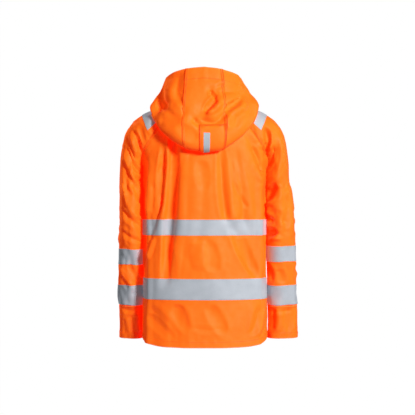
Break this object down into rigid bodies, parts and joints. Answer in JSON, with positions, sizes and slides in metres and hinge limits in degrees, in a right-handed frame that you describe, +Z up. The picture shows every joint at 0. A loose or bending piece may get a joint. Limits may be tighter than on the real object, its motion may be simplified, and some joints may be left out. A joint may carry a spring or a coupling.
{
  "type": "hooded hi-vis work jacket, worn without a wearer",
  "caption": "Hip-length hooded rain jacket in its worn shape, hollow, with raglan sleeves, a stand collar, a flap front and reflective bands round body and sleeves.",
  "frame": {"origin": "Where the jacket rests on its wearer: midway between the two shoulder high points beside the collar, at their height.", "axes": "+Z up, the wearer faces -Y, +X is the wearer's left."},
  "size_m": [0.5897, 0.3226, 0.885],
  "materials": {
    "orange": "fluorescent orange coated rain cloth, smooth and a little waxy, with fused seams",
    "tape": "silver-grey retroreflective tape, satin, sewn on",
    "stud": "press stud cap moulded in the cloth's colour"
  },
  "bodies": {
    "root": {"back": "orange", "front_left": "orange", "front_right": "orange", "sleeve_left": "orange", "sleeve_right": "orange", "cuff_left": "orange", "cuff_right": "orange", "collar": "orange", "storm_flap": "orange", "hood_middle": "orange", "hood_left": "orange", "hood_right": "orange", "hood_tab": "orange", "stud_1": "stud", "stud_2": "stud", "stud_3": "stud", "stud_4": "stud", "stud_5": "stud", "stud_6": "stud", "tape_back_upper": "tape", "tape_back_lower": "tape", "tape_front_left_upper": "tape", "tape_front_left_lower": "tape", "tape_front_right_upper": "tape", "tape_front_right_lower": "tape", "tape_flap_upper": "tape", "tape_flap_lower": "tape", "tape_sleeve_left_upper": "tape", "tape_sleeve_left_lower": "tape", "tape_sleeve_right_upper": "tape", "tape_sleeve_right_lower": "tape", "tape_shoulder_left": "tape", "tape_shoulder_right": "tape"}
  },
  "joints": []
}
